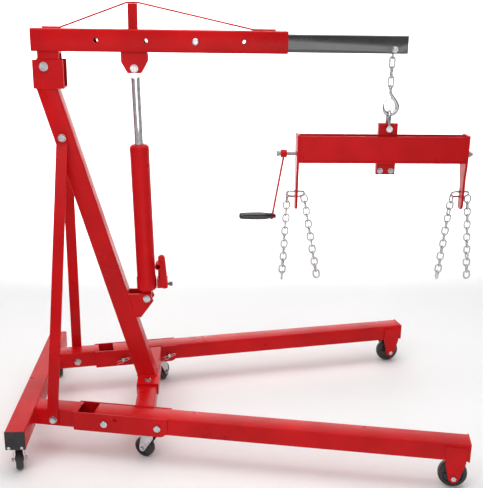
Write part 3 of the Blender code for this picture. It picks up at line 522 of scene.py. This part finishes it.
def dress_wheel(node, axle, radius, half, bolt_reach, bolt_head):
    places = [v.co for v in NODES[node].data.vertices]
    low = Vector([min(p[i] for p in places) for i in range(3)])
    high = Vector([max(p[i] for p in places) for i in range(3)])
    middle = (low + high) / 2
    made = show(node + "_look", wheel_shape(radius, half), "wheel_black", BODY_OF[node], 35)
    made.data.transform(along(middle, axle))
    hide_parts(node)
    ends = []
    for sign in (1, -1):
        end = along(middle + axle * sign * bolt_reach, axle * sign, 0.2)
        ends.append((prism(6, bolt_head, 0.0055, 0.0010), end))
    ends.append((prism(16, bolt_head * 0.55, 2 * bolt_reach), along(middle - axle * bolt_reach, axle)))
    show(node + "_axle", merged(ends), "zinc", BODY_OF[node], 30)


# where each caster stands, its heading in degrees, and the height of its top plate
CASTERS = {
    "left_rear": (Vector((ORIGIN_X + BEAM_HALF, CASTER_Y, 0)), -75, REAR_CASTER_TOP),
    "right_rear": (Vector((ORIGIN_X + BEAM_HALF, -CASTER_Y, 0)), 105, REAR_CASTER_TOP),
    "left_middle": (leg_point(1, 0.418, -LEG_WIDTH / 2, 0), 62, MIDDLE_CASTER_TOP),
    "right_middle": (leg_point(-1, 0.418, -LEG_WIDTH / 2, 0), 150, MIDDLE_CASTER_TOP),
}


def dress_casters():
    for label, (place, heading, height) in CASTERS.items():
        node = label + "_caster_fork"
        turn = math.radians(heading)
        across = Vector((-math.sin(turn), math.cos(turn), 0))
        dress(node, 0.0006)
        dress_wheel(label + "_caster_wheel", across, 0.038, 0.0135, 0.0212, 0.0075)
        plate = prism(24, 0.0215, 0.0016, 0.0004)
        race_at = Matrix.Translation((place.x, place.y, height - 0.0019))
        show(label + "_race", merged([(plate, race_at)]), "zinc", "base")
        nut_at = along((place.x, place.y, height - 0.0125), (0, 0, -1), turn)
        stud = [(prism(6, 0.0095, 0.0065, 0.0012), nut_at)]
        show(label + "_king_nut", merged(stud), "zinc", BODY_OF[node], 30)
    place, heading, height = CASTERS["left_middle"]
    turn = Matrix.Translation(place) @ Matrix.Rotation(math.radians(heading), 4, "Z")
    lever = [(-0.016, 0, 0.092), (-0.030, 0, 0.086), (-0.046, 0, 0.066), (-0.056, 0, 0.062)]
    points = [turn @ Vector(p) for p in lever]
    pieces = []
    across = (turn.to_3x3() @ Vector((0, 1, 0))).normalized()
    for a, b in zip(points, points[1:]):
        way = (b - a).normalized()
        bar = prism(4, 0.0163, (b - a).length + 0.002)
        shape = Matrix.Diagonal((1, 0.09, 1, 1)) @ Matrix.Rotation(math.pi / 4, 4, "Z")
        basis = Matrix((across, way.cross(across), way)).transposed().to_4x4()
        basis.translation = a
        pieces.append((bar, basis @ shape))
    show("caster_brake_lever", merged(pieces), "zinc", BODY_OF["left_middle_caster_fork"], 30)


def dress_front_wheels():
    for name, side in SIDES.items():
        dress_wheel(f"{name}_front_wheel", out_way(side), 0.050, 0.016, 0.0420, 0.0095)


# ---- load side ----
def dress_hook():
    """A forged hook with an eye, a waist, a thick bowl and a pointed tip."""
    eye_z, eye_r = HOOK_TOP_Z - 0.0115, 0.0095
    ring = [(0, eye_r * math.cos(t), eye_r * math.sin(t)) for t in [2 * math.pi * i / 20 for i in range(20)]]
    pieces = [(swept(ring, 0.0046, True, 10), Matrix.Translation((HANG_X, 0, eye_z)))]
    points, radii = [(0, 0, eye_z - 0.012)], [0.0062]
    points += [(0.004, 0, eye_z - 0.022), (0.013, 0, eye_z - 0.034), (0.022, 0, eye_z - 0.046)]
    radii += [0.0060, 0.0064, 0.0070]
    bowl_z, bowl = 1.235, 0.0250
    for i in range(17):
        t = math.radians(24 - 13.0 * i)
        points.append((0.004 + bowl * math.cos(t), 0, bowl_z + bowl * math.sin(t)))
        radii.append(0.0077 if i < 12 else 0.0077 - 0.0009 * (i - 11))
    points.append((-0.023, 0, bowl_z + 0.014))
    radii.append(0.0022)
    pieces.append((swept(points, 0.007, False, 12, radii), Matrix.Translation((HANG_X, 0, 0))))
    made = show("hook_look", merged(pieces), "zinc", "hook", 70)
    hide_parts("hook")
    latch = [(0.019, 0, 1.262), (0.006, 0, 1.266), (-0.008, 0, 1.262), (-0.018, 0, 1.252)]
    bar = [Vector(p) + Vector((HANG_X, 0, 0)) for p in latch]
    show("hook_latch", swept(bar, 0.0022, False, 8), "zinc", "hook", 70)


def dress_chains():
    top = Vector((HANG_X, 0, CHAIN_BOLT_Z + 0.004))
    drop = top.z - (HOOK_TOP_Z - 0.006)
    down = Vector((0, 0, -1))
    pitch = drop / LOAD_LINKS
    chain("load_chain_look", top, down, LOAD_LINKS, pitch, 0.0245, CHAIN_WIRE, "load_chain", math.pi / 2)
    strands = [("rear_left", 0, -1, -2), ("rear_right", 0, 1, 11)]
    strands += [("front_left", 1, -1, -5), ("front_right", 1, 1, 5)]
    for label, end, side, lean in strands:
        lean = math.radians(lean)
        top = Vector((RING_X[end] + side * 0.030, RING_Y, RING_Z))
        way = Vector((math.sin(lean), 0, -math.cos(lean)))
        spin = math.pi / 2 if side > 0 else 0.0
        node = f"{label}_chain"
        chain(node + "_look", top + way * 0.006, way, END_LINKS, 0.0252, 0.0295, CHAIN_WIRE, node, spin)


def dress_leveller():
    low = ORIGIN_X + 0.933
    profile = [(0, 0.945), (0.0085, 0.945), (0.0085, 0.9405), (0.0110, 0.9380)]
    profile += [(0.0110, 0.920), (0.0125, 0.917), (0.0139, 0.905), (0.0146, 0.880)]
    profile += [(0.0144, 0.855), (0.0132, 0.830), (0.0115, 0.815), (0.007, 0.8105), (0, 0.810)]
    grip = lathe(profile, 36)
    made = show("crank_grip_look", grip, "grip_black", "crank_grip", 50)
    made.data.transform(along((ORIGIN_X, 0, 0.829), (1, 0, 0)))
    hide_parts("crank_grip")
    small_bolt("grip_bolt", (low + 0.013, 0, 0.829), (1, 0, 0), 0.0070, 0.005, "crank")
    small_bolt("crank_nut", (ORIGIN_X + 0.947, 0, 1.065), (-1, 0, 0), 0.0100, 0.004, "crank")
    for x in (-0.020, 0.020):
        for side in (1, -1):
            place = (HANG_X + x, side * 0.0102, 1.004)
            corner = ("a" if x < 0 else "b") + ("l" if side > 0 else "r")
            small_bolt(f"carriage_bolt_{corner}", place, (0, side, 0), 0.0080, 0.006, "carriage")


# ---- small pieces on the frame ----
def dress_details():
    for name, side in SIDES.items():
        down = Vector((0, 0, -1))
        for label, reach, body in (("pivot", 0.2581, "base"), ("lock", 0.4525, f"{name}_lock_pin")):
            spot = leg_point(side, reach, -LEG_WIDTH - 0.0058 - 0.0130, PIN_Z)
            clip(f"{name}_{label}_clip", spot, down, -leg_way(side) * 0.95 + down * 0.3, body, 0.042)
        place = (ORIGIN_X + 0.464, side * 0.068, SADDLE_TOP_Z)
        small_bolt(f"{name}_foot_bolt", place, (0, 0, 1), 0.0105, 0.0080, "base")
        # Painted shade: a thin flat-black plate over each open end of the rear beam stands in for the shaded
        # inside of the tube, and the caster bolt ends sit on it.
        shade_plate = prism(4, 0.0488, 0.0018, 0.0006)
        spot = Vector((ORIGIN_X + BEAM_HALF, side * BEAM_END_Y, BEAM_Z))
        show(f"{name}_beam_end_painted_shade", merged([(shade_plate, along(spot, (0, side, 0), math.pi / 4))]), "dark", "base", 30)
        for x in (-0.022, 0.022):
            small_bolt(f"{name}_cap_bolt_{'a' if x < 0 else 'b'}", spot + Vector((x, side * 0.0018, -0.026)),
                       (0, side, 0), 0.0060, 0.003, "base", False)
    spot = Vector((ORIGIN_X + 0.650, 0.052, 1.457))
    clip("extension_pin_clip", spot, (1, 0, 0), (0, 0, -1), "extension_pin", 0.028)


def dress_welds():
    half = BEAM_HALF
    low, high = 0.118, 0.1815
    for name, side in SIDES.items():
        x = ORIGIN_X + 0.0708
        inner = -LEG_WIDTH
        near, far = leg_point(side, 0, 0, 0), leg_point(side, 0, inner / math.cos(LEG_ANGLE), 0)
        arch = [(x, near.y, low), (x, near.y, high), (x, far.y, high), (x, far.y, low)]
        weld(f"{name}_rail_weld", arch, "base")
        for out, label in ((0.0003, "outer"), (inner - 0.0003, "inner")):
            start = leg_point(side, 0.1446, out, low)
            end = leg_point(side, 0.1446, out, 0.179)
            weld(f"{name}_socket_{label}_weld", [start, end], "base", 0.0030)
        y = leg_point(side, 0.40, inner - 0.0058, 0).y
        spots = [(ORIGIN_X + 0.4288, y, low), (ORIGIN_X + 0.4288, y, 0.1822)]
        spots += [(ORIGIN_X + 0.4992, y + side * 0.013, 0.1822)]
        weld(f"{name}_cross_weld", spots, "base")
    foot = [(-0.026, -half), (-0.026, half), (0.047, half), (0.047, -half), (-0.026, -half)]
    path = [(ORIGIN_X + 0.4475 + x, y, 0.1906) for x, y in foot]
    weld("mast_foot_weld", path, "base", 0.0030)
    slope = math.tan(math.radians(16.3))
    for label, side in SIDES.items():
        top_x = ORIGIN_X + 0.4602 - (MAST_TOP_Z - 0.182) * slope
        edge = [(top_x + x, side * 0.0352, MAST_TOP_Z) for x in (-0.036, 0.036)]
        weld(f"mast_head_weld_{label}", edge, "base", 0.0028)
        edge = [(ORIGIN_X + 0.3935, side * 0.0300, 0.531), (ORIGIN_X + 0.4135, side * 0.0300, 0.437)]
        weld(f"ram_ear_weld_{label}", edge, "base", 0.0026)
        edge = [(ORIGIN_X + x, side * 0.0062, 1.4953) for x in (0.4185, 0.4515)]
        weld(f"post_weld_{label}", edge, "boom", 0.0020)
        for place, x0, x1 in (("hinge", 0.108, 0.182), ("clevis", 0.393, 0.484)):
            ends = [(ORIGIN_X + x, side * 0.0308, BOOM_BOTTOM_Z) for x in (x0, x1)]
            weld(f"{place}_weld_{label}", ends, "boom", 0.0022)
        for place, x0, x1 in (("rear", 0.125, 0.184), ("front", 0.854, 0.929)):
            ends = [(ORIGIN_X + x, side * 0.0038, BOOM_TOP_Z) for x in (x0, x1)]
            weld(f"rod_{place}_weld_{label}", ends, "boom", 0.0019)
        for place, x in (("rear", 1.0200), ("front", 1.6370)):
            ends = [(ORIGIN_X + x, side * 0.0302, 1.038), (ORIGIN_X + x, side * 0.0302, 1.131)]
            weld(f"end_plate_{place}_weld_{label}", ends, "leveller", 0.0020)


# ---- stage ----
def area_light(name, place, target, size, power, colour=(1, 1, 1)):
    data = bpy.data.lights.new(name, "AREA")
    data.shape = "RECTANGLE"
    data.size, data.size_y = size
    data.energy = power
    data.color = colour
    made = bpy.data.objects.new(name, data)
    bpy.context.scene.collection.objects.link(made)
    made.location = place
    made.rotation_mode = "QUATERNION"
    made.rotation_quaternion = (Vector(target) - Vector(place)).to_track_quat("-Z", "Y")
    return made


def make_stage():
    work = bmesh.new()
    bmesh.ops.create_grid(work, x_segments=1, y_segments=1, size=40)
    mesh = bpy.data.meshes.new("studio_floor")
    work.to_mesh(mesh)
    work.free()
    floor = bpy.data.objects.new("studio_floor", mesh)
    bpy.context.scene.collection.objects.link(floor)
    floor.location.z = -0.0005
    mat, shader = new_material("pale_floor", (0.95, 0.95, 0.95), 0.85)
    tone = ramp_of(mat, noise_of(mat, 2.0), [(0.3, grey(0.94)), (0.7, grey(0.96))])
    link(mat, tone, shader.inputs["Base Color"])
    mesh.materials.append(mat)
    wall = bpy.data.objects.new("studio_wall", mesh)
    bpy.context.scene.collection.objects.link(wall)
    wall.location.y = 7.0
    wall.rotation_euler.x = math.pi / 2
    world = bpy.data.worlds.new("studio")
    bpy.context.scene.world = world
    world.use_nodes = True
    background = world.node_tree.nodes["Background"]
    background.inputs["Strength"].default_value = 0.44
    place = world.node_tree.nodes.new("ShaderNodeTexCoord")
    split = world.node_tree.nodes.new("ShaderNodeSeparateXYZ")
    ramp = world.node_tree.nodes.new("ShaderNodeValToRGB")
    ramp.color_ramp.elements[0].position, ramp.color_ramp.elements[0].color = 0.0, grey(0.42)
    ramp.color_ramp.elements[1].position, ramp.color_ramp.elements[1].color = 0.55, grey(1.0)
    world.node_tree.links.new(place.outputs["Generated"], split.inputs["Vector"])
    world.node_tree.links.new(split.outputs["Z"], ramp.inputs["Fac"])
    world.node_tree.links.new(ramp.outputs["Color"], background.inputs["Color"])
    area_light("key_left", (-2.2, -2.6, 3.2), (0, 0, 0.7), (1.6, 1.6), 34)
    area_light("front_low", (0.2, -4.4, 0.95), (0, 0, 1.1), (3.4, 0.9), 18)
    area_light("top", (0.1, -0.1, 3.6), (0, 0, 0), (3.4, 3.0), 76)
    area_light("backdrop_light", (0.0, 3.0, 3.2), (0, 7.0, 1.2), (6.0, 1.6), 420)


def make_camera():
    yaw, pitch, roll = 0.052, 0.298, 0.015
    ahead = Vector((math.sin(yaw) * math.cos(pitch), math.cos(yaw) * math.cos(pitch), -math.sin(pitch)))
    right = Vector((math.cos(yaw), -math.sin(yaw), 0))
    up = right.cross(ahead)
    turned = Matrix.Rotation(-roll, 3, ahead)
    right, up = turned @ right, turned @ up
    data = bpy.data.cameras.new("camera")
    data.sensor_width = 36
    data.lens = 57.26
    data.clip_start, data.clip_end = 0.05, 200
    made = bpy.data.objects.new("camera", data)
    bpy.context.scene.collection.objects.link(made)
    made.matrix_world = Matrix((right, up, -ahead)).transposed().to_4x4()
    made.location = (ORIGIN_X + 0.6758, -2.7927, 1.578)
    bpy.context.scene.camera = made


bpy.context.scene.view_settings.view_transform = "Standard"
make_camera()
dress_structure()
dress_bolts()
dress_casters()
dress_front_wheels()
dress_hook()
dress_chains()
dress_leveller()
dress_details()
dress_welds()
make_stage()

bpy.context.view_layer.update()
